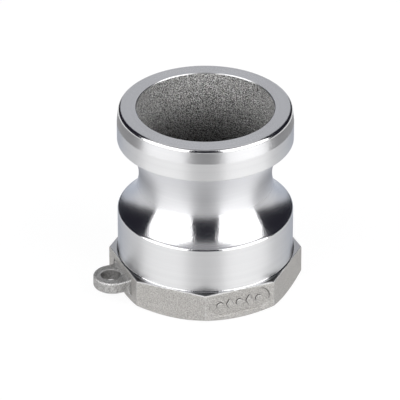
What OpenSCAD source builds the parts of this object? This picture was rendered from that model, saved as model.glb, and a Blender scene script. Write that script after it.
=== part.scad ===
// Camlock adapter: the male half of a cam-and-groove hose coupling, with a female pipe thread below.
// The real part is one steel casting, machined outside. It is drawn as its named regions,
// which share faces and don't overlap. The origin is the centre of the foot face, +Z towards the spigot.

/* [Spigot] */
// Outside diameter of the spigot head and of the barrel
spigot_d = 45.5; // [40:0.5:60]
// Height of the head, from the cam groove to the sealing face
head_h = 8.9; // [6:0.1:14]
// Height of the slight lead-in taper below the sealing face
lead_in_h = 3.9; // [2:0.1:5]
// How much narrower the lead-in is at its top, measured on the radius
lead_in_step = 0.3; // [0.1:0.05:0.6]
// Height of the broken edge round the sealing face
rim_break_h = 0.8; // [0.3:0.1:1.5]
// Width of the broken edge round the sealing face
rim_break_w = 0.25; // [0.1:0.05:0.6]

/* [Cam groove] */
// Depth of the cam groove below the spigot's surface
groove_depth = 5.55; // [4:0.05:7]
// Radius of the groove's round section, which the cams press into
groove_r = 12.25; // [9:0.05:16]
// Metal between the groove and the throat
neck_wall = 2.4; // [1.6:0.1:3.5]

/* [Flow bore] */
// Wall of the head beside the mouth
head_wall = 5; // [3.5:0.1:6.5]
// Chamfer round the mouth
mouth_chamfer = 0.4; // [0.2:0.05:0.8]
// Depth of the straight stretch inside the mouth
mouth_depth = 3; // [1.5:0.1:5]
// Length of the straight throat above the middle of the groove
throat_len = 2.85; // [1:0.05:5]

/* [Barrel and thread] */
// Height of the barrel, from the octagon to the cam groove
barrel_h = 12.75; // [12:0.05:20]
// Height of the rounded shoulder at the top of the barrel
shoulder_h = 1.05; // [0.5:0.05:2]
// Width of the rounded shoulder, measured on the radius
shoulder_w = 0.65; // [0.3:0.05:1.2]
// Metal between the thread's root and the barrel's surface
thread_wall = 1.795; // [1.4:0.005:3]
// Thread pitch
thread_pitch = 2.309; // [1.5:0.001:3]
// Height of the thread's ridge, from root to crest
thread_height = 1.479; // [0.9:0.001:1.9]
// Length of the threaded wall from the foot
thread_len = 17; // [14:0.1:19]
// Length of the plain run-out behind the thread
runout_len = 2; // [1:0.1:3]
// Width of the step that the pipe's end stops against
stop_step = 1.3; // [0.8:0.1:2]
// Depth of the chamfer at the thread's mouth
thread_chamfer = 1.2; // [0.5:0.1:1.6]
// Thickness of the threaded sleeve behind the thread's root
sleeve_back = 0.4; // [0.2:0.05:0.8]

/* [Octagon] */
// Height of the octagon
base_h = 8.6; // [7:0.1:12]
// How far each flat stands out from the barrel
flat_step = 0.4; // [0.2:0.05:2]
// How far the foot face lies inside the flats
foot_inset = 0.45; // [0.2:0.05:1]
// Slope of the chamfer that runs up from the foot face
foot_slope = 30; // [20:1:40]

/* [Chain lug] */
// Number of the flat that carries the lug, counted from +X towards +Y
lug_flat = 4; // [0:1:7]
// Distance that the lug reaches from its flat
lug_reach = 7.85; // [6:0.05:12]
// Width of the lug
lug_w = 10; // [8:0.1:12]
// Thickness of the lug
lug_t = 3; // [2:0.1:4]
// Distance of the lug's top below the octagon's top
lug_drop = 2.5; // [1.5:0.1:3]
// Diameter of the hole for the chain's ring
lug_hole_d = 5; // [3:0.1:6]
// Metal between the hole and the lug's tip
lug_rim = 2; // [1.5:0.1:2.5]
// Radius of the corners where the lug meets its flat
lug_fillet = 1.5; // [0.5:0.1:3]

/* [Size marks] */
// Number of the flat that carries the marks, counted from +X towards +Y
mark_flat = 6; // [0:1:7]
// Distance of the recessed field from the flat's two corners
field_margin = 1.1; // [0.8:0.1:3]
// Height of the recessed field
field_h = 6; // [4:0.1:6.5]
// Depth of the recessed field
field_depth = 0.4; // [0.2:0.05:0.6]
// Distance of the field below the octagon's top
field_drop = 0.85; // [0.5:0.05:1.2]
// Number of raised marks
mark_count = 5; // [3:1:6]
// Distance from one mark to the next
mark_pitch = 2.7; // [2.2:0.1:3]
// Diameter of a round mark
mark_disc_d = 1.9; // [1:0.1:2.2]
// Width of a lozenge mark
mark_w = 2; // [1:0.1:2.2]
// Height of a lozenge mark
mark_h = 3.6; // [2:0.1:4]
// How far a mark's top lies below the flat
mark_sink = 0.05; // [0:0.01:0.15]

/* [Hidden] */
$fn = 96;
eps = 1;

spigot_r = spigot_d / 2;
neck_r = spigot_r - groove_depth;
throat_r = neck_r - neck_wall;
mouth_r = spigot_r - head_wall;
rim_r = spigot_r - lead_in_step - rim_break_w;
shoulder_r = spigot_r - shoulder_w;

root_r = spigot_r - thread_wall;
crest_r = root_r - thread_height;
sleeve_r = root_r + sleeve_back;
chamber_r = crest_r - stop_step;
sleeve_len = thread_len + runout_len;

// the groove's section is a circle whose centre lies outside the neck
groove_x = neck_r + groove_r;
below_mid = sqrt(pow(groove_r, 2) - pow(groove_x - shoulder_r, 2));
above_mid = sqrt(pow(groove_r, 2) - pow(groove_x - spigot_r, 2));
neck_z = base_h + barrel_h;
mid_z = neck_z + below_mid;
head_z = mid_z + above_mid;
top_z = head_z + head_h;

side_count = 8;
apothem = spigot_r + flat_step;
vertex_r = apothem / cos(180 / side_count);
foot_r = apothem - foot_inset;
flat_w = 2 * apothem * tan(180 / side_count);

lug_end_r = lug_w / 2;
lug_hole_reach = lug_reach - lug_rim - lug_hole_d / 2;
field_len = flat_w - 2 * field_margin;
field_z = base_h - field_drop - field_h / 2;

// The flow passage as a half section, from the pipe's stop up through the throat to the mouth
module bore_section() {
    // straight chamber above the stop
    translate([0, sleeve_len]) square([chamber_r, neck_z - sleeve_len + eps]);
    // waist that follows the groove at the neck's wall
    difference() {
        translate([0, neck_z]) square([chamber_r, mid_z - neck_z]);
        translate([groove_x, mid_z]) circle(groove_r + neck_wall);
    }
    // throat, cone and mouth
    polygon([
        [0, mid_z - eps], [throat_r, mid_z - eps], [throat_r, mid_z + throat_len],
        [mouth_r, top_z - mouth_depth], [mouth_r, top_z - mouth_chamfer],
        [mouth_r + mouth_chamfer + eps, top_z + eps], [0, top_z + eps]
    ]);
}

// One flat's own frame: X runs outwards from the flat's middle, Z up from the foot
module on_flat(index) {
    rotate(360 / side_count * (index + 0.5)) translate([apothem, 0, 0]) children();
}

// The head that the coupler's gasket seals on, with its lead-in
module spigot_head() {
    color("gainsboro") rotate_extrude() difference() {
        polygon([
            [0, head_z], [spigot_r, head_z], [spigot_r, top_z - lead_in_h],
            [spigot_r - lead_in_step, top_z - rim_break_h], [rim_r, top_z], [0, top_z]
        ]);
        bore_section();
    }
}

// The necked stretch with the round groove for the cams
module cam_neck() {
    color("silver") rotate_extrude() difference() {
        translate([0, neck_z]) square([spigot_r, head_z - neck_z]);
        translate([groove_x, mid_z]) circle(groove_r);
        bore_section();
    }
}

// The plain barrel that fills the coupler's mouth, with its rounded shoulder
module barrel() {
    color("lightgray") rotate_extrude() difference() {
        polygon([
            [0, base_h], [spigot_r, base_h], [spigot_r, neck_z - shoulder_h],
            [spigot_r - shoulder_w / 3, neck_z - shoulder_h / 3], [shoulder_r, neck_z], [0, neck_z]
        ]);
        bore_section();
        square([sleeve_r, sleeve_len]);
    }
}

// The octagon for a wrench, cast rough, with its chamfered foot and the recessed field
module octagon_base() {
    color("darkgray") difference() {
        intersection() {
            cylinder(h = base_h, r = vertex_r, $fn = side_count);
            rotate_extrude() polygon([
                [0, 0], [foot_r, 0], [foot_r + base_h / tan(foot_slope), base_h], [0, base_h]
            ]);
        }
        translate([0, 0, -eps]) cylinder(h = base_h + 2 * eps, r = sleeve_r);
        on_flat(mark_flat) translate([-field_depth, 0, field_z]) rotate([90, 0, 90])
            linear_extrude(field_depth + eps) field_outline();
    }
}

// The racetrack outline of the recessed field
module field_outline() {
    straight = field_len - field_h;
    square([straight, field_h], center = true);
    for (side = [-1, 1])
        translate([side * straight / 2, 0]) circle(d = field_h);
}

// The threaded sleeve of the casting: rings of the thread's pitch, so each crest stays a true cylinder
module pipe_thread() {
    crest_w = thread_pitch / 6;
    ring_count = floor(thread_len / thread_pitch);
    color("dimgray") rotate_extrude() difference() {
        translate([crest_r, 0]) square([sleeve_r - crest_r, sleeve_len]);
        for (ring = [0:ring_count - 1])
            translate([crest_r, (ring + 0.5) * thread_pitch]) polygon([
                [-eps, crest_w / 2 - thread_pitch / 2], [0, crest_w / 2 - thread_pitch / 2],
                [thread_height, -crest_w / 2], [thread_height, crest_w / 2],
                [0, thread_pitch / 2 - crest_w / 2], [-eps, thread_pitch / 2 - crest_w / 2]
            ]);
        translate([0, thread_len]) square([root_r, runout_len]);
        polygon([[0, -eps], [crest_r + thread_chamfer + eps, -eps], [crest_r, thread_chamfer], [0, thread_chamfer]]);
    }
}

// The lug for the dust cap's chain
module chain_lug() {
    straight = lug_reach - lug_end_r;
    color("darkgray") on_flat(lug_flat) translate([0, 0, base_h - lug_drop - lug_t])
        linear_extrude(lug_t) difference() {
            union() {
                translate([0, -lug_w / 2]) square([straight, lug_w]);
                translate([straight, 0]) circle(lug_end_r);
                for (side = [-1, 1]) scale([1, side]) difference() {
                    translate([0, lug_end_r - 0.01]) square([lug_fillet, lug_fillet + 0.01]);
                    translate([lug_fillet, lug_end_r + lug_fillet]) circle(lug_fillet);
                }
            }
            translate([lug_hole_reach, 0]) circle(d = lug_hole_d);
            translate([-lug_w, -lug_w]) square([lug_w, 2 * lug_w]);
        }
}

// Plain raised marks, discs and tall lozenges by turns
module size_marks() {
    first = -mark_pitch * (mark_count - 1) / 2;
    color("gray") on_flat(mark_flat) translate([-field_depth, 0, field_z]) rotate([90, 0, 90])
        linear_extrude(field_depth - mark_sink) for (i = [0:mark_count - 1])
            translate([first + i * mark_pitch, 0]) {
                if (i % 2 == 0) circle(d = mark_disc_d);
                else polygon([[-mark_w / 2, 0], [0, -mark_h / 2], [mark_w / 2, 0], [0, mark_h / 2]]);
            }
}

spigot_head();
cam_neck();
barrel();
octagon_base();
pipe_thread();
chain_lug();
size_marks();
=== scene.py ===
import math

import bpy
from mathutils import Matrix, Vector


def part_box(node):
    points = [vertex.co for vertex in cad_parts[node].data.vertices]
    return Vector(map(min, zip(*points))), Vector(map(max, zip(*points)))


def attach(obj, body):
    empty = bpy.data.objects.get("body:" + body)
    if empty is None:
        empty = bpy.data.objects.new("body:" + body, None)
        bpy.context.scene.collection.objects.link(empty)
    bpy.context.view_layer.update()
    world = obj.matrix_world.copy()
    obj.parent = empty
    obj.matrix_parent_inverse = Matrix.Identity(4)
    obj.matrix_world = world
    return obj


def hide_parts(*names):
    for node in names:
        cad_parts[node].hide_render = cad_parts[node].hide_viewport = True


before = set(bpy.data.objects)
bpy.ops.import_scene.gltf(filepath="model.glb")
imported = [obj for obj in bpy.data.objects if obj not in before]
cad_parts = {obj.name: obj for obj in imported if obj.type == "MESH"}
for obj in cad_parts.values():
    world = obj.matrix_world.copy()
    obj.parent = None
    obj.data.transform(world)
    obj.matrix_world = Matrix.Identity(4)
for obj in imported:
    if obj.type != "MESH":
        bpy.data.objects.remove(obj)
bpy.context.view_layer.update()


# ------------------------------------------------------------------ Camera
# A long lens on a high stand looks down on the fitting from in front of the octagon's front corner,
# far enough away that upright edges stay nearly upright.
MM = 0.001
camera_elevation = math.radians(30.56)
camera_distance = 1300 * MM
camera_aim = Vector((-1.39, 0, 22.6)) * MM


def new_object(name, data):
    """An object at the origin, linked to the scene."""
    made = bpy.data.objects.new(name, data)
    bpy.context.scene.collection.objects.link(made)
    return made


camera_data = bpy.data.cameras.new("camera")
camera_data.lens = 452
camera_data.sensor_width = 36
camera_data.clip_start = 0.05
camera_data.clip_end = 50
camera = new_object("camera", camera_data)
bpy.context.scene.camera = camera
sight = Vector((0, math.cos(camera_elevation), -math.sin(camera_elevation)))
camera.location = camera_aim - sight * camera_distance
camera.rotation_euler = sight.to_track_quat("-Z", "Y").to_euler()


# ------------------------------------------------------------------ Studio
# A white sweep under and behind the fitting, and a tall softbox at each side of the camera. Black and
# grey cards between the softboxes, beside them and overhead give the polished steel its dark bands.
bpy.context.scene.view_settings.view_transform = "Standard"


def put(tree, socket, value):
    """Links a socket to another socket, or gives it a constant."""
    if isinstance(value, bpy.types.NodeSocket):
        tree.links.new(value, socket)
    else:
        socket.default_value = value


def add(tree, kind, settings=None, **values):
    """Adds a node. Settings are its properties. Values name its inputs, with _ for a space, and are
    sockets or constants."""
    node = tree.nodes.new(kind)
    for name, value in (settings or {}).items():
        setattr(node, name, value)
    for name, value in values.items():
        put(tree, node.inputs[name.replace("_", " ")], value)
    return node


def number(tree, operation, *values):
    """The result of a Math node."""
    node = add(tree, "ShaderNodeMath", {"operation": operation})
    for socket, value in zip(node.inputs, values):
        put(tree, socket, value)
    return node.outputs[0]


def vector(tree, operation, *values):
    """The result of a Vector Math node."""
    node = add(tree, "ShaderNodeVectorMath", {"operation": operation})
    for socket, value in zip(node.inputs, values):
        put(tree, socket, value)
    return node.outputs["Value" if operation in ("LENGTH", "DOT_PRODUCT") else "Vector"]


def scaled(tree, value, share):
    """A vector or a colour times a number."""
    node = add(tree, "ShaderNodeVectorMath", {"operation": "SCALE"}, Scale=share)
    tree.links.new(value, node.inputs[0])
    return node.outputs[0]


def new_material(name):
    """A material and its empty tree."""
    material = bpy.data.materials.new(name)
    material.use_nodes = True
    material.node_tree.nodes.clear()
    return material, material.node_tree


def seen_or_mirrored(tree):
    """A socket that is 1 for what the camera sees straight on, in a mirror or through glass."""
    path = add(tree, "ShaderNodeLightPath").outputs
    mirrored = number(tree, "MAXIMUM", path["Is Camera Ray"], path["Is Glossy Ray"])
    return number(tree, "MAXIMUM", mirrored, path["Is Transmission Ray"])


def mixed(tree, share, first, second):
    """A shader between two others, by a 0 to 1 socket."""
    mix = add(tree, "ShaderNodeMixShader", Fac=share)
    tree.links.new(first.outputs[0], mix.inputs[1])
    tree.links.new(second.outputs[0], mix.inputs[2])
    return mix.outputs[0]


world = bpy.data.worlds.new("studio")
bpy.context.scene.world = world
world.use_nodes = True
air = world.node_tree
air.nodes.clear()
white_air = add(air, "ShaderNodeBackground", Color=(1, 1, 1, 1), Strength=1.0)
room_air = add(air, "ShaderNodeBackground", Color=(0.95, 0.97, 1, 1), Strength=0.55)
add(air, "ShaderNodeOutputWorld", Surface=mixed(air, seen_or_mirrored(air), room_air, white_air))

# the sweep glows white, but not under the fitting, so that light doesn't come up through the bore
glow_start_r, glow_full_r = 21.5 * MM, 23 * MM
sweep_paper, sweep = new_material("sweep_paper")
paper = add(sweep, "ShaderNodeBsdfDiffuse", Color=(0.85, 0.85, 0.85, 1))
glow = add(sweep, "ShaderNodeEmission", Color=(1, 1, 1, 1), Strength=1.05)
reach = vector(sweep, "LENGTH", add(sweep, "ShaderNodeTexCoord").outputs["Object"])
open_floor = add(sweep, "ShaderNodeMapRange", Value=reach, From_Min=glow_start_r, From_Max=glow_full_r,
                 To_Max=0.88)
glow_share = number(sweep, "MULTIPLY", seen_or_mirrored(sweep), open_floor.outputs["Result"])
add(sweep, "ShaderNodeOutputMaterial", Surface=mixed(sweep, glow_share, paper, glow))


def card_stock(name, colour):
    """A studio card that shows one even colour in reflections."""
    material, tree = new_material(name)
    even = add(tree, "ShaderNodeEmission", Color=(*colour, 1))
    add(tree, "ShaderNodeOutputMaterial", Surface=even.outputs[0])
    return material


card_black = card_stock("card_black", (0.018, 0.018, 0.027))
card_grey = card_stock("card_grey", (0.64, 0.65, 0.68))
card_ceiling = card_stock("card_ceiling", (0.42, 0.42, 0.44))


def quad(name, corners, material):
    """A flat four-cornered sheet of the studio."""
    mesh = bpy.data.meshes.new(name)
    mesh.from_pydata(corners, [], [(0, 1, 2, 3)])
    mesh.materials.append(material)
    sheet = new_object(name, mesh)
    return sheet


def level_square(half, z):
    """The corners of a level square over the origin."""
    return [(-half, -half, z), (half, -half, z), (half, half, z), (-half, half, z)]


def around(azimuth, distance, height):
    """A point beside the fitting. Azimuth 0 is the camera's side, and 90 is +X."""
    turn = math.radians(azimuth)
    return Vector((math.sin(turn) * distance, -math.cos(turn) * distance, height))


def card(name, stock, from_azimuth, to_azimuth, low, high, card_distance=0.9, lean=0):
    """A card between two azimuths and two elevations, in degrees. It shows only in reflections. Its
    first edge can lean over by an angle on the way up."""
    bottom = card_distance * math.tan(math.radians(low))
    top = card_distance * math.tan(math.radians(high))
    a, b = from_azimuth, to_azimuth
    sheet = quad(name, [around(a, card_distance, bottom), around(b, card_distance, bottom),
                        around(b, card_distance, top), around(a + lean, card_distance, top)], stock)
    sheet.visible_camera = False


quad("floor", level_square(4.0, 0), sweep_paper)
ceiling = quad("ceiling", level_square(0.7, 1.75), card_ceiling)
ceiling.visible_camera = False
card("card_front", card_black, -22, 22, 1, 62)
card("card_behind", card_grey, 166, 194, 1, 58)

softbox_distance = 0.8
softbox_azimuth = 64
softbox_half_angle = 42
softbox_top_angle = 62
softbox_foot_z = 0.02
softbox_width = 2 * softbox_distance * math.tan(math.radians(softbox_half_angle))
softbox_height = softbox_distance * math.tan(math.radians(softbox_top_angle))
for side, name, brightness in ((-1, "left", 2.0), (1, "right", 2.45)):
    card("card_" + name, card_black, side * 92, side * 124, 2, 60, lean=side * 14)
    card("card_back_" + name, card_black, side * 124, side * 160, 1, 54)
    card("card_corner_" + name, card_grey, side * 160, side * 166, 1, 58)
    card("card_flag_" + name, card_black, side * 80, side * 108, 2, 58, 0.62, lean=side * 26)
    softbox_data = bpy.data.lights.new("softbox_" + name, "AREA")
    softbox_data.shape = "RECTANGLE"
    softbox_data.size = softbox_width
    softbox_data.size_y = softbox_height
    softbox_data.energy = brightness * math.pi * softbox_width * softbox_height
    softbox = new_object("softbox_" + name, softbox_data)
    softbox.location = around(side * softbox_azimuth, softbox_distance,
                              softbox_foot_z + softbox_height / 2)
    inward = Vector((-softbox.location.x, -softbox.location.y, 0))
    softbox.rotation_euler = inward.to_track_quat("-Z", "Y").to_euler()
    softbox.visible_camera = False


# ------------------------------------------------------------------ Spigot head
# The top ring of the casting, turned bright all over outside: a flat face for the coupler's gasket,
# a broken rim, a slight lead-in and a plain band. Its mouth keeps the rough skin of the casting.
head_low, head_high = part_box("spigot_head")
spigot_r = head_high.x
top_z, head_z = head_high.z, head_low.z
lead_in_h, lead_in_step = 3.9 * MM, 0.38 * MM
rim_break = 0.95 * MM
head_wall = 5 * MM
mouth_r = spigot_r - head_wall
mouth_chamfer = 0.22 * MM
mouth_depth = 3 * MM


def node_group(name, kind, inputs, outputs):
    """A node group and the sockets that its inputs come in by. Inputs and outputs are given as names
    with their kinds."""
    group = bpy.data.node_groups.new(name, kind)
    for in_out, sockets in (("INPUT", inputs), ("OUTPUT", outputs)):
        for socket, socket_kind in sockets.items():
            group.interface.new_socket(socket, in_out=in_out, socket_type="NodeSocket" + socket_kind)
    return group, add(group, "NodeGroupInput").outputs


def turned_marks():
    """Node group: the fine rings that a lathe tool leaves, round the Z axis."""
    group, given = node_group("turned_marks", "ShaderNodeTree", {"Feed": "Float"}, {"Marks": "Float"})
    place = add(group, "ShaderNodeTexCoord").outputs["Object"]
    split = add(group, "ShaderNodeSeparateXYZ", Vector=place).outputs
    flat = add(group, "ShaderNodeCombineXYZ", X=split["X"], Y=split["Y"])
    # slow drift round the ring, so no mark is a perfect circle
    drift = add(group, "ShaderNodeTexNoise", Vector=place, Scale=60)
    climb = number(group, "ADD", split["Z"], number(group, "MULTIPLY", drift.outputs["Fac"], 0.4 * MM))
    section = add(group, "ShaderNodeCombineXYZ", X=vector(group, "LENGTH", flat.outputs[0]), Z=climb)
    rings = add(group, "ShaderNodeTexNoise", Vector=section.outputs[0], Scale=given["Feed"], Detail=4,
                Roughness=0.7)
    add(group, "NodeGroupOutput", Marks=rings.outputs["Fac"])
    return group


turned_marks_group = turned_marks()


def value_range(tree, source, low, high):
    """Spreads the middle half of a noise over a range. The rest of the noise is cut off."""
    spread = add(tree, "ShaderNodeMapRange", Value=source, From_Min=0.25, From_Max=0.75, To_Min=low,
                 To_Max=high)
    return spread.outputs["Result"]


def two_colours(tree, source, dark, light):
    """Spreads the middle half of a noise between two colours."""
    ramp = add(tree, "ShaderNodeValToRGB", Fac=source)
    for element, position, colour in zip(ramp.color_ramp.elements, (0.25, 0.75), (dark, light)):
        element.position = position
        element.color = (*colour, 1)
    return ramp.outputs["Color"]


def over_height(tree, low_z, high_z, at_low, at_high, easing="LINEAR"):
    """A value that changes between two heights."""
    place = add(tree, "ShaderNodeTexCoord")
    split = add(tree, "ShaderNodeSeparateXYZ", Vector=place.outputs["Object"])
    change = add(tree, "ShaderNodeMapRange", {"interpolation_type": easing}, Value=split.outputs["Z"],
                 From_Min=low_z, From_Max=high_z, To_Min=at_low, To_Max=at_high)
    return change.outputs["Result"]


def blasted_grain():
    """Node group: the pitted skin that shot blasting leaves on a casting, with its duller patches. A
    fainter grain stands for a tool's chatter."""
    group, given = node_group("blasted_grain", "ShaderNodeTree", {"Grain Scale": "Float"},
                              {"Grain": "Float", "Patches": "Float"})
    place = add(group, "ShaderNodeTexCoord").outputs["Object"]
    pits = add(group, "ShaderNodeTexNoise", Vector=place, Scale=given["Grain Scale"], Detail=1)
    patches = add(group, "ShaderNodeTexNoise", Vector=place, Scale=220, Detail=3)
    add(group, "NodeGroupOutput", Grain=value_range(group, pits.outputs["Fac"], -0.3, 1.3),
        Patches=patches.outputs["Fac"])
    return group


blasted_grain_group = blasted_grain()
# painted shade: the dark brown that the painted_shade attribute mixes into a colour where shade falls
painted_shade_brown = (0.055, 0.052, 0.05)


def paint_shade(tree, colour):
    """Darkens a colour with painted shade where the mesh's painted_shade attribute asks for it."""
    painted_shade = add(tree, "ShaderNodeAttribute", {"attribute_name": "painted_shade"})
    shaded = add(tree, "ShaderNodeMix", {"data_type": "RGBA"}, Factor=painted_shade.outputs["Fac"], A=colour,
                 B=(*painted_shade_brown, 1))
    return shaded.outputs["Result"]


def turned_steel_material(name, rough, streak, dark, light, coarser=None, edge_tint=(1, 1, 1)):
    """Turned stainless steel: bright, with fine rings that streak its highlights up and down. Coarser
    is (low height, high height, 0, rise): the finish gets rougher on the way up."""
    material, tree = new_material(name)
    fine = add(tree, "ShaderNodeGroup", {"node_tree": turned_marks_group}, Feed=4000)
    coarse = add(tree, "ShaderNodeGroup", {"node_tree": turned_marks_group}, Feed=900)
    roughness = value_range(tree, fine.outputs["Marks"], *rough)
    if coarser:
        roughness = number(tree, "ADD", roughness, over_height(tree, *coarser))
    relief = add(tree, "ShaderNodeBump", Strength=0.25, Distance=0.008 * MM,
                 Height=coarse.outputs["Marks"])
    specks = add(tree, "ShaderNodeGroup", {"node_tree": blasted_grain_group}, Grain_Scale=2600)
    chatter = add(tree, "ShaderNodeBump", Strength=1, Distance=0.006 * MM,
                  Height=specks.outputs["Grain"], Normal=relief.outputs["Normal"])
    around_axis = add(tree, "ShaderNodeTangent", {"direction_type": "RADIAL", "axis": "Z"})
    colour = paint_shade(tree, two_colours(tree, coarse.outputs["Marks"], dark, light))
    steel = add(tree, "ShaderNodeBsdfPrincipled", Base_Color=colour, Metallic=1, Roughness=roughness,
                Specular_Tint=(*edge_tint, 1), Anisotropic=streak, Anisotropic_Rotation=0.25,
                Tangent=around_axis.outputs[0], Normal=chatter.outputs["Normal"])
    add(tree, "ShaderNodeOutputMaterial", Surface=steel.outputs[0])
    return material


steel_edge = (0.58, 0.62, 0.7)
face_steel = turned_steel_material("turned_steel_face", rough=(0.2, 0.25), streak=0.8,
                                   dark=(0.6, 0.6, 0.61), light=(0.65, 0.65, 0.655))
rim_steel = turned_steel_material("turned_steel_rim", rough=(0.12, 0.15), streak=0.3,
                                  dark=(0.58, 0.58, 0.59), light=(0.63, 0.63, 0.635))
wall_steel = turned_steel_material("turned_steel_wall", rough=(0.34, 0.38), streak=0.85,
                                   dark=(0.605, 0.605, 0.612), light=(0.66, 0.66, 0.664),
                                   edge_tint=steel_edge)
lead_in_steel = turned_steel_material("turned_steel_lead_in", rough=(0.465, 0.5), streak=1.0,
                                      dark=(0.61, 0.61, 0.62), light=(0.66, 0.66, 0.67))


def cast_steel_material(name, grain_scale, depth, dark, light, rough, depth_shade=None):
    """Blasted cast steel, matt and grainy. Depth shade is (low height, high height, share, 1): painted
    shade that darkens the colour on the way down into the bore."""
    material, tree = new_material(name)
    grain = add(tree, "ShaderNodeGroup", {"node_tree": blasted_grain_group}, Grain_Scale=grain_scale)
    colour = two_colours(tree, grain.outputs["Grain"], dark, light)
    if depth_shade:
        colour = scaled(tree, colour, over_height(tree, *depth_shade, easing="SMOOTHSTEP"))
    relief = add(tree, "ShaderNodeBump", Strength=1, Distance=depth, Height=grain.outputs["Grain"])
    steel = add(tree, "ShaderNodeBsdfPrincipled", Base_Color=paint_shade(tree, colour), Metallic=1,
                Roughness=value_range(tree, grain.outputs["Patches"], *rough),
                Specular_Tint=(0.55, 0.56, 0.58, 1), Normal=relief.outputs["Normal"])
    add(tree, "ShaderNodeOutputMaterial", Surface=steel.outputs[0])
    return material


# the bore's colour darkens with depth as painted shade
bore_steel = cast_steel_material("cast_bore_steel", 4300, 0.2 * MM, dark=(0.11, 0.109, 0.106),
                                 light=(0.88, 0.872, 0.86), rough=(0.42, 0.52),
                                 depth_shade=(top_z - 19 * MM, top_z - 3 * MM, 0.2, 1))


def turned_tree():
    """Geometry Nodes tree that sweeps a closed section round the Z axis, as a ring or as a helix."""
    tree, given = node_group("turned", "GeometryNodeTree", {
        "Section": "Geometry", "Steps per Turn": "Int", "Turns": "Float", "Pitch": "Float",
        "Fade Steps": "Int", "Fade Point": "Vector", "Outside": "Material", "Bore": "Material",
    }, {"Ring": "Geometry"})
    size = add(tree, "GeometryNodeAttributeDomainSize", Geometry=given["Section"])
    points = size.outputs["Point Count"]
    steps = number(tree, "ROUND", number(tree, "MULTIPLY", given["Steps per Turn"], given["Turns"]))

    # a sheet with one column for each step round, and one row for each point of the section
    rows = number(tree, "ADD", points, 1.0)
    sheet = add(tree, "GeometryNodeMeshGrid", Vertices_X=number(tree, "ADD", steps, 1.0),
                Vertices_Y=rows)
    index = add(tree, "GeometryNodeInputIndex").outputs[0]
    step = number(tree, "FLOOR", number(tree, "DIVIDE", number(tree, "ADD", index, 0.5), rows))
    row = number(tree, "SUBTRACT", index, number(tree, "MULTIPLY", step, rows))
    position = add(tree, "GeometryNodeInputPosition").outputs[0]
    sample = add(tree, "GeometryNodeSampleIndex", {"data_type": "FLOAT_VECTOR", "domain": "POINT"},
                 Geometry=given["Section"], Value=position, Index=number(tree, "MODULO", row, points))

    # at both ends of a helix the section shrinks to a point
    to_end = number(tree, "MINIMUM", step, number(tree, "SUBTRACT", steps, step))
    fading = number(tree, "GREATER_THAN", given["Fade Steps"], 0.5)
    faded = number(tree, "DIVIDE", to_end, number(tree, "MAXIMUM", given["Fade Steps"], 1.0))
    not_fading = number(tree, "SUBTRACT", 1.0, fading)
    whole = number(tree, "MINIMUM", number(tree, "ADD", faded, not_fading), 1.0)
    arm = vector(tree, "SUBTRACT", sample.outputs["Value"], given["Fade Point"])
    shrunk = vector(tree, "ADD", scaled(tree, arm, whole), given["Fade Point"])

    turn = number(tree, "DIVIDE", step, given["Steps per Turn"])
    rise = add(tree, "ShaderNodeCombineXYZ", Z=number(tree, "MULTIPLY", turn, given["Pitch"]))
    swung = add(tree, "ShaderNodeVectorRotate", {"rotation_type": "Z_AXIS"}, Vector=shrunk,
                Angle=number(tree, "MULTIPLY", turn, 2 * math.pi))
    place = add(tree, "GeometryNodeSetPosition", Geometry=sheet.outputs["Mesh"],
                Position=vector(tree, "ADD", swung.outputs[0], rise.outputs[0]))
    closed = add(tree, "GeometryNodeMergeByDistance", Geometry=place.outputs[0], Distance=1e-6)
    smooth = add(tree, "GeometryNodeSetShadeSmooth", Geometry=closed.outputs[0])
    real = add(tree, "GeometryNodeRealizeInstances", Geometry=smooth.outputs[0])
    outside = add(tree, "GeometryNodeSetMaterial", Geometry=real.outputs[0],
                  Material=given["Outside"])

    # faces that look at the axis keep the casting's skin
    flat = vector(tree, "NORMALIZE", vector(tree, "MULTIPLY", position, (1, 1, 0)))
    normal = add(tree, "GeometryNodeInputNormal").outputs[0]
    inward = number(tree, "LESS_THAN", vector(tree, "DOT_PRODUCT", normal, flat), -0.72)
    bore = add(tree, "GeometryNodeSetMaterial", Geometry=outside.outputs[0], Selection=inward,
               Material=given["Bore"])
    add(tree, "NodeGroupOutput", Ring=bore.outputs[0])
    return tree


turned = turned_tree()


def rounded(corners, steps=6, support=0.06 * MM):
    """A closed section from (radius, height, rounding) corners: arcs at the corners, with a point just
    outside each arc so that flats stay flat. A corner with no rounding is kept as it is."""
    section = []
    for i, (r, z, rounding) in enumerate(corners):
        corner = Vector((r, z))
        if not rounding:
            section.append(corner)
            continue
        back = (Vector(corners[i - 1][:2]) - corner).normalized()
        on = (Vector(corners[(i + 1) % len(corners)][:2]) - corner).normalized()
        half = back.angle(on) / 2
        reach = rounding / math.tan(half)
        centre = corner + (back + on).normalized() * (rounding / math.sin(half))
        start, stop = corner + back * reach, corner + on * reach
        section.append(start + back * support)
        first = math.atan2(start.y - centre.y, start.x - centre.x)
        sweep = math.atan2(stop.y - centre.y, stop.x - centre.x) - first
        sweep = (sweep + math.pi) % (2 * math.pi) - math.pi
        for k in range(steps + 1):
            angle = first + sweep * k / steps
            section.append(centre + Vector((math.cos(angle), math.sin(angle))) * rounding)
        section.append(stop + on * support)
    return section


def run_tree(piece, tree, values):
    """Runs a Geometry Nodes tree on a piece, with its inputs set through their identifiers, and turns
    the result into the piece's plain mesh."""
    modifier = piece.modifiers.new(tree.name, "NODES")
    modifier.node_group = tree
    for item in tree.interface.items_tree:
        if item.item_type == "SOCKET" and item.in_out == "INPUT" and item.name in values:
            modifier[item.identifier] = values[item.name]
    evaluated = piece.evaluated_get(bpy.context.evaluated_depsgraph_get())
    mesh = bpy.data.meshes.new_from_object(evaluated)
    mesh.name = piece.name
    piece.modifiers.clear()
    piece.data = mesh


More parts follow.
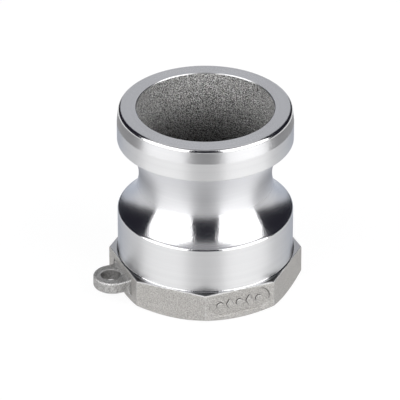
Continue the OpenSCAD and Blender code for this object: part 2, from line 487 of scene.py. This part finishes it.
def turned_piece(name, section, sharp, outside, bore, **helix):
    """A turned piece: the section, anticlockwise from outside, swept round the axis."""
    mesh = bpy.data.meshes.new(name)
    edges = [(k, (k + 1) % len(section)) for k in range(len(section))]
    mesh.from_pydata([(p[0], 0, p[1]) for p in section], edges, [])
    piece = new_object(name, mesh)
    values = {"Steps per Turn": 288, "Turns": 1.0, "Pitch": 0.0, "Fade Steps": 0,
              "Fade Point": (0.0, 0.0, 0.0), "Outside": outside, "Bore": bore}
    values.update(helix)
    run_tree(piece, turned, values)
    piece.data.set_sharp_from_angle(angle=math.radians(sharp))
    return piece


# the groove's section is an arc whose centre lies outside the neck
groove_depth, groove_r = 5.55 * MM, 12.25 * MM
groove_x = spigot_r - groove_depth + groove_r
mid_z = head_z - math.sqrt(groove_r ** 2 - (groove_x - spigot_r) ** 2)
neck_wall = 2.4 * MM
throat_r = spigot_r - groove_depth - neck_wall
throat_end_z = mid_z + 2.85 * MM


def groove_radius(z):
    """Radius of the groove's surface at a height."""
    return groove_x - math.sqrt(groove_r ** 2 - (mid_z - z) ** 2)


def cone_radius(z):
    """Radius of the mouth's cone at a height."""
    depth_share = (top_z - mouth_depth - z) / (top_z - mouth_depth - throat_end_z)
    return mouth_r + (throat_r - mouth_r) * depth_share


seam_z = head_z - 0.35 * MM
head_section = rounded([
    (groove_radius(seam_z), seam_z, 0),
    (spigot_r, head_z, 0.35 * MM),
    (spigot_r, top_z - lead_in_h - 0.03 * MM, 0),
    (spigot_r, top_z - lead_in_h, 0),
    (spigot_r - lead_in_step, top_z, rim_break),
    (mouth_r + mouth_chamfer, top_z, 0.05 * MM),
    (mouth_r, top_z - mouth_chamfer, 0.06 * MM),
    (mouth_r, top_z - mouth_depth, 20 * MM),
    (cone_radius(seam_z), seam_z, 0),
])
head = turned_piece("spigot_head_turned", head_section, 35, wall_steel, bore_steel)
finishes = {}
for finish in (lead_in_steel, rim_steel, face_steel):
    finishes[finish] = len(head.data.materials)
    head.data.materials.append(finish)
for face in head.data.polygons:
    outside = math.hypot(face.center.x, face.center.y) > mouth_r + mouth_chamfer
    if face.normal.z > 0.99:
        face.material_index = finishes[face_steel]
    elif outside and face.normal.z > 0.15:
        face.material_index = finishes[rim_steel]
    elif outside and face.center.z > top_z - lead_in_h:
        face.material_index = finishes[lead_in_steel]
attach(head, "root")
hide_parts("spigot_head")


# ------------------------------------------------------------------ Cam neck
# The waist of the casting, turned to one round groove that the coupler's cams press into. Inside, the
# throat keeps its cast skin and follows the groove at an even wall.
neck_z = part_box("cam_neck")[0].z
chamber_r = 18.176 * MM
waist_r = groove_r + neck_wall
groove_steps = 56
waist_steps = 20
waist_end_z = mid_z - math.sqrt(waist_r ** 2 - (groove_x - chamber_r) ** 2)

neck_section = []
for k in range(groove_steps + 1):
    z = neck_z + (seam_z - neck_z) * k / groove_steps
    neck_section.append((groove_radius(z), z))
neck_section += [(cone_radius(seam_z), seam_z), (throat_r, throat_end_z)]
for k in range(waist_steps + 1):
    z = mid_z + (waist_end_z - mid_z) * k / waist_steps
    neck_section.append((groove_x - math.sqrt(waist_r ** 2 - (mid_z - z) ** 2), z))
neck_section.append((chamber_r, neck_z))
groove_steel = turned_steel_material("turned_steel_groove", rough=(0.17, 0.21), streak=0.88,
                                     dark=(0.575, 0.575, 0.59), light=(0.625, 0.625, 0.635),
                                     coarser=(mid_z - 4 * MM, mid_z + 1 * MM, 0, 0.34),
                                     edge_tint=steel_edge)
neck = turned_piece("cam_neck_turned", neck_section, 35, groove_steel, bore_steel)
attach(neck, "root")
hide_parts("cam_neck")


# ------------------------------------------------------------------ Barrel
# The plain cylinder below the groove, turned in the same setting, which fills the coupler's mouth. Its
# shoulder is rounded over.
base_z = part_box("barrel")[0].z
sleeve_r = 21.355 * MM
stop_z = 19 * MM
shoulder_corner_z = neck_z - (spigot_r - groove_radius(neck_z)) * 0.75

barrel_section = rounded([
    (sleeve_r, base_z, 0),
    (spigot_r, base_z, 0),
    (spigot_r, shoulder_corner_z, 0.7 * MM),
    (groove_radius(neck_z), neck_z, 0),
    (chamber_r, neck_z, 0),
    (chamber_r, stop_z, 0.2 * MM),
    (sleeve_r, stop_z, 0),
])
barrel = turned_piece("barrel_turned", barrel_section, 50, wall_steel, bore_steel)
barrel.data.materials.append(groove_steel)
for face in barrel.data.polygons:
    if math.hypot(face.center.x, face.center.y) > chamber_r and face.normal.z > 0.1:
        face.material_index = len(barrel.data.materials) - 1
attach(barrel, "root")
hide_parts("barrel")


# ------------------------------------------------------------------ Octagon
# The octagon for a wrench, left as cast and blasted. Only its top face is turned. The foot has the
# sloping chamfer of the pattern, and one flat has a sunken field for the size marks.
flat_count = 8
apothem = spigot_r + 0.4 * MM
foot_r = apothem - 0.45 * MM
foot_slope = math.radians(30)
corner_round = 0.4 * MM
top_round = 0.3 * MM
foot_round = 0.25 * MM
half_flat = math.pi / flat_count
mark_flat = 6
field_half_len = apothem * math.tan(half_flat) - 1.1 * MM
field_half_h = 3 * MM
field_depth = 0.4 * MM
field_z = base_z - 0.85 * MM - field_half_h
field_draft = 0.2 * MM
tool_nose = 0.4 * MM
wall_rows, round_rows, face_rows, fillet_rows = 62, 5, 3, 7
# painted shade on the top face at each corner, darkest at the two corners beside the front corner
shade_at_corner = (0.1, 0.1, 0.1, 0.1, 0.1, 0.95, 0.4, 0.95)
# brighter vertical corners and top edge of the flats: wear, and a painted highlight along them
corner_wear_and_highlight, corner_wear_and_highlight_turn = 0.72, math.radians(1.6)
foot_wear, foot_wear_reach, foot_blend = 0.45, 0.5 * MM, 0.2 * MM
crest_wear_and_highlight_h = 0.7 * MM
# where the octagon is narrow, its edge rises up the fillet, and this much of the wall with it
edge_lift_h = 2 * MM
corner_shade_w = 0.5 * MM
# painted shade along the octagon's foot, darker towards the floor
foot_shade, foot_shade_h = 0.5, 0.35 * MM


def octagon_radius(turn, inset):
    """Radius of the octagon's rounded outline at an angle from a flat's middle, moved in by inset."""
    side = apothem - inset
    centre = Vector((side - corner_round, (side - corner_round) * math.tan(half_flat)))
    ray = Vector((math.cos(turn), abs(math.sin(turn))))
    if side * math.tan(abs(turn)) <= centre.y:
        return side / ray.x
    along = centre.dot(ray)
    return along + math.sqrt(max(corner_round ** 2 - centre.length_squared + along ** 2, 0))


def soft_min(a, b, blend):
    """The smaller of two sizes, rounded where they meet."""
    overlap = max(blend - abs(a - b), 0) / blend
    return min(a, b) - overlap ** 2 * blend / 4


def smooth_step(value):
    """Eases a value from 0 to 1, and holds it there outside that range."""
    value = min(max(value, 0), 1)
    return value * value * (3 - 2 * value)


def field_sink(across, z):
    """How far down the sunken field's wall a place on its flat is, from 0 to 1. The field is a
    racetrack with sloping walls."""
    beyond = max(abs(across) - (field_half_len - field_half_h), 0)
    inside = field_half_h - math.hypot(beyond, z - field_z)
    return smooth_step(inside / field_draft)


def octagon_rows():
    """The outer wall's rows from the foot to the top face, as (inset, height)."""
    rows = []
    for k in range(round_rows):
        rows.append((0, foot_round * (1 - math.cos(math.pi / 2 * k / (round_rows - 1)))))
    high = base_z - top_round
    for k in range(1, wall_rows + 1):
        rows.append((0, foot_round + (high - foot_round) * k / wall_rows))
    for k in range(1, round_rows + 1):
        lean = math.pi / 2 * k / round_rows
        rows.append((top_round * (1 - math.cos(lean)), high + top_round * math.sin(lean)))
    return rows


def fillet_rise(radius):
    """Height of the fillet round the barrel above the octagon's top face."""
    near = min(max(spigot_r + tool_nose - radius, 0), tool_nose)
    return tool_nose - math.sqrt(tool_nose ** 2 - near ** 2)


def top_face_radii(outer):
    """Radii across the turned top face and up its fillet, from the octagon's edge to the barrel."""
    fillet_start = min(outer, spigot_r + tool_nose)
    radii = [outer + (fillet_start - outer) * k / face_rows for k in range(1, face_rows + 1)]
    first = math.acos(1 - (fillet_start - spigot_r) / tool_nose)
    for k in range(1, fillet_rows + 1):
        lean = first * (1 - k / fillet_rows)
        radii.append(spigot_r + tool_nose * (1 - math.cos(lean)))
    return radii


def octagon_turns():
    """The angles at which the octagon is cut, as (flat, angle from its middle). They are closer
    together at the corners and on the flat with the field."""
    turns = []
    for flat in range(flat_count):
        count = 170 if flat == mark_flat else 44
        even = 0.6 if flat == mark_flat else 0
        for k in range(count):
            share = 2 * k / count - 1
            eased = even * share + (1 - even) * math.sin(share * math.pi / 2)
            turns.append((flat, half_flat * eased))
    return turns


def outer_wall(flat, turn):
    """The octagon's outer wall at one angle, as (radius, height, wear and painted highlight, painted
    shade) from the foot up.
    """
    wall = []
    corner = smooth_step(1 - (half_flat - abs(turn)) / corner_wear_and_highlight_turn)
    edge_rise = fillet_rise(octagon_radius(turn, top_round))
    for inset, z in octagon_rows():
        radius = octagon_radius(turn, inset)
        # painted shade at the foot, darker towards the floor
        shaded = foot_shade * smooth_step(1 - z / foot_shade_h)
        field_highlight = 0
        if flat == mark_flat:
            # painted shade darkens the upper half of the field's wall, which faces down, and a painted
            # highlight lightens the lower half, which faces up
            sink = field_sink(apothem * math.tan(turn), z)
            radius -= sink * field_depth / math.cos(turn)
            above = smooth_step(0.5 + (z - field_z) / field_half_h)
            slope = 4 * sink * (1 - sink)
            shaded = max(shaded, above * slope)
            field_highlight = (1 - above) * slope
        # the foot's chamfer is a cone, softened where it meets the foot and the flats
        cone = foot_r + z / math.tan(foot_slope)
        if z < foot_round:
            cone -= foot_round * (1 - math.sqrt(1 - (1 - z / foot_round) ** 2)) * 0.5
        ground = smooth_step(1 - abs(radius - cone) / foot_wear_reach)
        radius = soft_min(radius, cone, foot_blend)
        # the top edge of the flats is brightened: wear and a painted highlight
        crest = smooth_step(1 - (base_z - z) / crest_wear_and_highlight_h)
        lift = edge_rise * max(0, 1 - (base_z - z) / edge_lift_h)
        wear_and_highlight = max(corner_wear_and_highlight * corner, crest, foot_wear * ground, field_highlight)
        wall.append((radius, z + lift, wear_and_highlight, shaded))
    return wall


def wrapped_mesh(name, columns):
    """A closed mesh from columns that follow each other anticlockwise. Each is a closed section of
    (x, y, z, wear and painted highlight, painted shade) points, anticlockwise from outside."""
    row_count = len(columns[0])
    faces = []
    for i in range(len(columns)):
        here, there = i * row_count, (i + 1) % len(columns) * row_count
        for j in range(row_count):
            on = (j + 1) % row_count
            faces.append((here + j, there + j, there + on, here + on))
    points = [point for column in columns for point in column]
    mesh = bpy.data.meshes.new(name)
    mesh.from_pydata([point[:3] for point in points], [], faces)
    for k, attribute in ((3, "edge"), (4, "painted_shade")):
        layer = mesh.attributes.new(attribute, "FLOAT", "POINT")
        layer.data.foreach_set("value", [point[k] for point in points])
    mesh.shade_smooth()
    return mesh


def octagon_mesh(name):
    """The octagon: its outer wall, its top face with the fillet, and the plain bore."""
    columns = []
    for flat, turn in octagon_turns():
        azimuth = (flat + 0.5) * 2 * half_flat + turn
        section = outer_wall(flat, turn)
        corner_shade = shade_at_corner[round(azimuth / (2 * half_flat)) % flat_count]
        for radius in top_face_radii(octagon_radius(turn, top_round)):
            # painted shade on the top face, reaching in from the octagon's corners
            near_corner = smooth_step((radius - apothem) / corner_shade_w)
            section.append((radius, base_z + fillet_rise(radius), 0, corner_shade * near_corner))
        section += [(spigot_r - 0.3 * MM, base_z + tool_nose, 0, 0), (sleeve_r, base_z, 0, 0),
                    (sleeve_r, 0, 0, 0)]
        columns.append([(math.cos(azimuth) * radius, math.sin(azimuth) * radius, *others)
                        for radius, *others in section])
    return wrapped_mesh(name, columns)


def brightened_edges():
    """Node group: rubbed bright edges and painted highlights, broken up by the grain."""
    group, given = node_group("brightened_edges", "ShaderNodeTree", {"Edge": "Float", "Patch Scale": "Float"},
                              {"Worn": "Float"})
    place = add(group, "ShaderNodeTexCoord")
    patch = add(group, "ShaderNodeTexNoise", Vector=place.outputs["Object"],
                Scale=given["Patch Scale"], Detail=3)
    cut = add(group, "ShaderNodeMapRange", {"interpolation_type": "SMOOTHSTEP"},
              Value=number(group, "ADD", given["Edge"], patch.outputs["Fac"]), From_Min=1.0,
              From_Max=1.5)
    add(group, "NodeGroupOutput", Worn=cut.outputs["Result"])
    return group


brightened_edges_group = brightened_edges()


def add_wear_and_highlights(material, bright_colour, bright_roughness):
    """Adds bright worn edges and painted highlights to a cast material, from the mesh's edge attribute.
    """
    tree = material.node_tree
    steel = next(node for node in tree.nodes if node.type == "BSDF_PRINCIPLED")
    edge = add(tree, "ShaderNodeAttribute", {"attribute_name": "edge"})
    wear_and_highlight = add(tree, "ShaderNodeGroup", {"node_tree": brightened_edges_group}, Patch_Scale=900,
               Edge=edge.outputs["Fac"]).outputs["Worn"]
    for socket, kind, value in ((steel.inputs["Base Color"], "RGBA", (*bright_colour, 1)),
                                (steel.inputs["Roughness"], "FLOAT", bright_roughness)):
        mix = add(tree, "ShaderNodeMix", {"data_type": kind}, Factor=wear_and_highlight,
                  A=socket.links[0].from_socket, B=value)
        tree.links.new(mix.outputs["Result"], socket)


cast_steel = cast_steel_material("cast_steel", 4600, 0.08 * MM, dark=(0.35, 0.34, 0.327),
                                 light=(0.54, 0.526, 0.508), rough=(0.46, 0.6))
add_wear_and_highlights(cast_steel, (0.56, 0.555, 0.55), 0.34)
faced_steel = turned_steel_material("faced_steel", rough=(0.1, 0.14), streak=0.2,
                                    dark=(0.5, 0.5, 0.51), light=(0.56, 0.56, 0.57))

octagon = new_object("octagon_cast", octagon_mesh("octagon_cast"))
octagon.data.materials.append(cast_steel)
octagon.data.materials.append(faced_steel)
for face in octagon.data.polygons:
    turned_off = math.hypot(face.center.x, face.center.y) < apothem / math.cos(half_flat) - 0.7 * MM
    if face.center.z > base_z - 0.01 * MM and (face.normal.z > 0.97 or turned_off and face.normal.z > 0):
        face.material_index = 1
octagon.data.set_sharp_from_angle(angle=math.radians(50))
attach(octagon, "root")
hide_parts("octagon_base")


# ------------------------------------------------------------------ Pipe thread
# The parallel pipe thread inside the foot, cut into the casting: one ridge that winds up the bore at
# the pipe thread's pitch, and fades out at both ends.
thread_pitch = 2.309 * MM
root_r = spigot_r - 1.795 * MM
crest_r = root_r - 1.479 * MM
crest_half = thread_pitch / 12
ridge_half = thread_pitch / 2 - crest_half
ridge_back = 0.15 * MM
thread_start_z = ridge_half + 0.1 * MM


def cut_steel_material():
    """Steel cut by a threading tool: clean, with short tool marks round the bore."""
    material, tree = new_material("cut_thread_steel")
    marks = add(tree, "ShaderNodeGroup", {"node_tree": turned_marks_group}, Feed=6000).outputs["Marks"]
    steel = add(tree, "ShaderNodeBsdfPrincipled", Metallic=1,
                Base_Color=two_colours(tree, marks, (0.42, 0.42, 0.42), (0.56, 0.56, 0.57)),
                Roughness=value_range(tree, marks, 0.24, 0.4))
    add(tree, "ShaderNodeOutputMaterial", Surface=steel.outputs[0])
    return material


cut_steel = cut_steel_material()
sleeve_section = [(sleeve_r, 0), (sleeve_r, stop_z), (root_r, stop_z), (root_r, 0)]
sleeve = turned_piece("thread_sleeve", sleeve_section, 35, cut_steel, cut_steel)
ridge_section = [
    (root_r + ridge_back, thread_start_z - ridge_half),
    (root_r + ridge_back, thread_start_z + ridge_half),
    (root_r, thread_start_z + ridge_half),
    (crest_r, thread_start_z + crest_half),
    (crest_r, thread_start_z - crest_half),
    (root_r, thread_start_z - ridge_half),
]
ridge = turned_piece("thread_ridge", ridge_section, 20, cut_steel, cut_steel, **{
    "Steps per Turn": 120, "Turns": 6.4, "Pitch": thread_pitch, "Fade Steps": 30,
    "Fade Point": (root_r + ridge_back, 0.0, thread_start_z)})
for piece in (sleeve, ridge):
    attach(piece, "root")
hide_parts("pipe_thread")


# ------------------------------------------------------------------ Chain lug
# A small tab cast on one flat of the octagon, with a hole for the ring of the dust cap's chain. Its
# edges and the corners at its root are rounded by the mould.
lug_flat = 4
lug_t = 3.15 * MM
lug_mid_z = base_z - 4 * MM
lug_reach, lug_half_w, lug_hole_r = 7.85 * MM, 5 * MM, 2.5 * MM
lug_hole_x = lug_reach - 2 * MM - lug_hole_r
lug_edge_round, lug_hole_round, lug_root_round = 0.55 * MM, 0.3 * MM, 1.2 * MM
lug_embed = 0.3 * MM
lug_turns, lug_steps = 192, 26
# painted shade on the hole's wall
hole_shade, hole_shade_reach = 0.5, 0.12 * MM
# rubbed rings round the hole and along the outline: wear, made brighter as a painted highlight
hole_rub_highlight, outline_rub_highlight, rub_highlight_width = 0.3 * MM, 0.16 * MM, 0.3 * MM


def round_over(distance, radius):
    """How far a surface drops over a rounded edge, at a distance in from the edge. The same curve
    gives how far the lug swells towards its root, at a distance out from the flat."""
    near = min(max(radius - distance, 0), radius)
    return radius - math.sqrt(radius ** 2 - near ** 2)


def lug_side(x, y):
    """Distance in from the lug's outline: a half-round tip, and sides that flare at the root."""
    past_tip = math.hypot(max(x - (lug_reach - lug_half_w), 0), y)
    return lug_half_w + round_over(x, lug_root_round) - past_tip


def lug_outline_reach(turn):
    """Distance from the hole's middle to the lug's outline, found by halving along a ray."""
    low, high = lug_hole_r, lug_reach + lug_half_w
    for _ in range(40):
        middle = (low + high) / 2
        x, y = lug_hole_x + math.cos(turn) * middle, math.sin(turn) * middle
        if lug_side(x, y) < 0 or x < -lug_embed:
            high = middle
        else:
            low = middle
    return low


def lug_mesh(name):
    """The lug: sections that stand round the hole, each from the hole's wall out to the outline on
    the underside and back on top."""
    columns = []
    for i in range(lug_turns):
        turn = 2 * math.pi * i / lug_turns
        reach = lug_outline_reach(turn)
        column = []
        for k in range(lug_steps + 1):
            share = 0.5 - 0.5 * math.cos(math.pi * k / lug_steps)
            from_hole = (reach - lug_hole_r) * share
            x = lug_hole_x + math.cos(turn) * (lug_hole_r + from_hole)
            y = math.sin(turn) * (lug_hole_r + from_hole)
            to_outline = lug_side(x, y)
            half = lug_t / 2 + round_over(x, lug_root_round)
            half -= round_over(from_hole, lug_hole_round) + round_over(to_outline, lug_edge_round)
            # the rubbed rings are wear and a painted highlight
            from_rub_highlight = min(abs(from_hole - hole_rub_highlight), abs(to_outline - outline_rub_highlight))
            # painted shade on the hole's wall, fading out from the hole
            shaded = hole_shade * smooth_step(1 - from_hole / hole_shade_reach)
            column.append((x, y, half, smooth_step(1 - from_rub_highlight / rub_highlight_width), shaded))
        under = [(x, y, lug_mid_z - half, *others) for x, y, half, *others in column]
        over = [(x, y, lug_mid_z + half, *others) for x, y, half, *others in reversed(column)]
        columns.append(under + over)
    mesh = wrapped_mesh(name, columns)
    azimuth = (lug_flat + 0.5) * 2 * half_flat
    mesh.transform(Matrix.Rotation(azimuth, 4, "Z") @ Matrix.Translation((apothem, 0, 0)))
    return mesh


lug = new_object("chain_lug_cast", lug_mesh("chain_lug_cast"))
# the lug's cast steel is a darker copy of the octagon's: painted shade
lug_steel = cast_steel_material("cast_lug_steel", 3600, 0.12 * MM, dark=(0.3, 0.296, 0.29),
                                light=(0.5, 0.493, 0.484), rough=(0.38, 0.46))
# its rubbed rings are brightened as wear and as a painted highlight
add_wear_and_highlights(lug_steel, (0.66, 0.655, 0.65), 0.2)
lug.data.materials.append(lug_steel)
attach(lug, "root")
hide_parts("chain_lug")


# ------------------------------------------------------------------ Size marks
# Plain raised shapes in the sunken field, where a maker casts the size: discs and tall lozenges by
# turns, cast with the octagon, with drafted sides and softened tops.
mark_root = 0.05 * MM
mark_below_flat = 0.05 * MM
# each step of a mark's side: its share of the rise, how much it draws in, its painted shade and its
# painted highlight
mark_steps = ((0.62, 0.9, 0.9, 0), (0.28, 0.93, 0, 1), (0.1, 0.86, 0, 0.7))


def marks_tree():
    """Geometry Nodes tree: a row of discs and lozenges by turns, stood on a flat of the octagon."""
    tree, given = node_group("size_marks", "GeometryNodeTree", {
        "Count": "Int", "Pitch": "Float", "Disc Radius": "Float", "Lozenge Width": "Float",
        "Lozenge Height": "Float", "Corner": "Float", "Rise": "Float", "Field Middle": "Vector",
        "Flat Azimuth": "Float", "Steel": "Material",
    }, {"Marks": "Geometry"})

    def raised(outline):
        """A closed mark on an outline, raised in steps, each drawn in at its top."""
        fill = add(tree, "GeometryNodeFillCurve", {"mode": "NGONS"}, Curve=outline)
        shape, top = fill.outputs["Mesh"], True
        for share, keep, painted_shade, painted_highlight in mark_steps:
            push = add(tree, "GeometryNodeExtrudeMesh", Mesh=shape, Selection=top, Individual=False,
                       Offset_Scale=number(tree, "MULTIPLY", given["Rise"], share)).outputs
            shape = push["Mesh"]
            # painted shade darkens the lowest step of a mark's side, and painted highlights lighten the
            # steps above
            for attribute, value in (("painted_shade", painted_shade), ("edge", painted_highlight)):
                shape = add(tree, "GeometryNodeStoreNamedAttribute", {"domain": "FACE"}, Geometry=shape,
                            Name=attribute, Selection=push["Side"], Value=value).outputs["Geometry"]
            shape = add(tree, "GeometryNodeScaleElements", Geometry=shape, Selection=push["Top"],
                        Scale=keep).outputs["Geometry"]
            top = push["Top"]
        back = add(tree, "GeometryNodeFlipFaces", Mesh=fill.outputs["Mesh"])
        both = add(tree, "GeometryNodeJoinGeometry", Geometry=shape)
        tree.links.new(back.outputs[0], both.inputs[0])
        return add(tree, "GeometryNodeMergeByDistance", Geometry=both.outputs[0], Distance=1e-6)

    disc = add(tree, "GeometryNodeCurvePrimitiveCircle", Resolution=36, Radius=given["Disc Radius"])
    half_h = number(tree, "MULTIPLY", given["Lozenge Height"], 0.5)
    lozenge = add(tree, "GeometryNodeCurvePrimitiveQuadrilateral", {"mode": "KITE"},
                  Width=given["Lozenge Width"], Bottom_Height=half_h, Top_Height=half_h)
    soft = add(tree, "GeometryNodeFilletCurve", {"mode": "POLY"}, Curve=lozenge.outputs[0], Count=5,
               Radius=given["Corner"])
    kinds = add(tree, "GeometryNodeJoinGeometry")
    for outline in (soft, disc):
        instance = add(tree, "GeometryNodeGeometryToInstance",
                       Geometry=raised(outline.outputs[0]).outputs[0])
        tree.links.new(instance.outputs[0], kinds.inputs[0])

    # the row is laid out flat round the origin, with the kinds picked by turns
    gaps = number(tree, "SUBTRACT", given["Count"], 1)
    row_length = number(tree, "MULTIPLY", gaps, given["Pitch"])
    first = add(tree, "ShaderNodeCombineXYZ", X=number(tree, "MULTIPLY", row_length, -0.5))
    step = add(tree, "ShaderNodeCombineXYZ", X=given["Pitch"])
    row = add(tree, "GeometryNodeMeshLine", Count=given["Count"], Start_Location=first.outputs[0],
              Offset=step.outputs[0])
    index = add(tree, "GeometryNodeInputIndex").outputs[0]
    placed = add(tree, "GeometryNodeInstanceOnPoints", Points=row.outputs[0],
                 Instance=kinds.outputs[0], Pick_Instance=True,
                 Instance_Index=number(tree, "MODULO", index, 2))
    turn = number(tree, "ADD", given["Flat Azimuth"], math.pi / 2)
    euler = add(tree, "ShaderNodeCombineXYZ", X=math.pi / 2, Z=turn)
    turned_up = add(tree, "FunctionNodeEulerToRotation", Euler=euler.outputs[0])
    stood = add(tree, "GeometryNodeTransform", Geometry=placed.outputs[0],
                Translation=given["Field Middle"], Rotation=turned_up.outputs[0])
    smooth = add(tree, "GeometryNodeSetShadeSmooth", Geometry=stood.outputs[0])
    real = add(tree, "GeometryNodeRealizeInstances", Geometry=smooth.outputs[0])
    steel = add(tree, "GeometryNodeSetMaterial", Geometry=real.outputs[0], Material=given["Steel"])
    add(tree, "NodeGroupOutput", Marks=steel.outputs[0])
    return tree


mark_azimuth = (mark_flat + 0.5) * 2 * half_flat
field_floor_r = apothem - field_depth - mark_root
marks = new_object("size_marks_cast", bpy.data.meshes.new("size_marks_cast"))
run_tree(marks, marks_tree(), {
    "Count": 5, "Pitch": 2.7 * MM, "Disc Radius": 0.95 * MM, "Lozenge Width": 2 * MM,
    "Lozenge Height": 3.6 * MM, "Corner": 0.3 * MM, "Rise": mark_root + field_depth - mark_below_flat,
    "Field Middle": (math.cos(mark_azimuth) * field_floor_r, math.sin(mark_azimuth) * field_floor_r,
                     field_z),
    "Flat Azimuth": mark_azimuth, "Steel": cast_steel})
marks.data.set_sharp_from_angle(angle=math.radians(40))
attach(marks, "root")
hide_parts("size_marks")
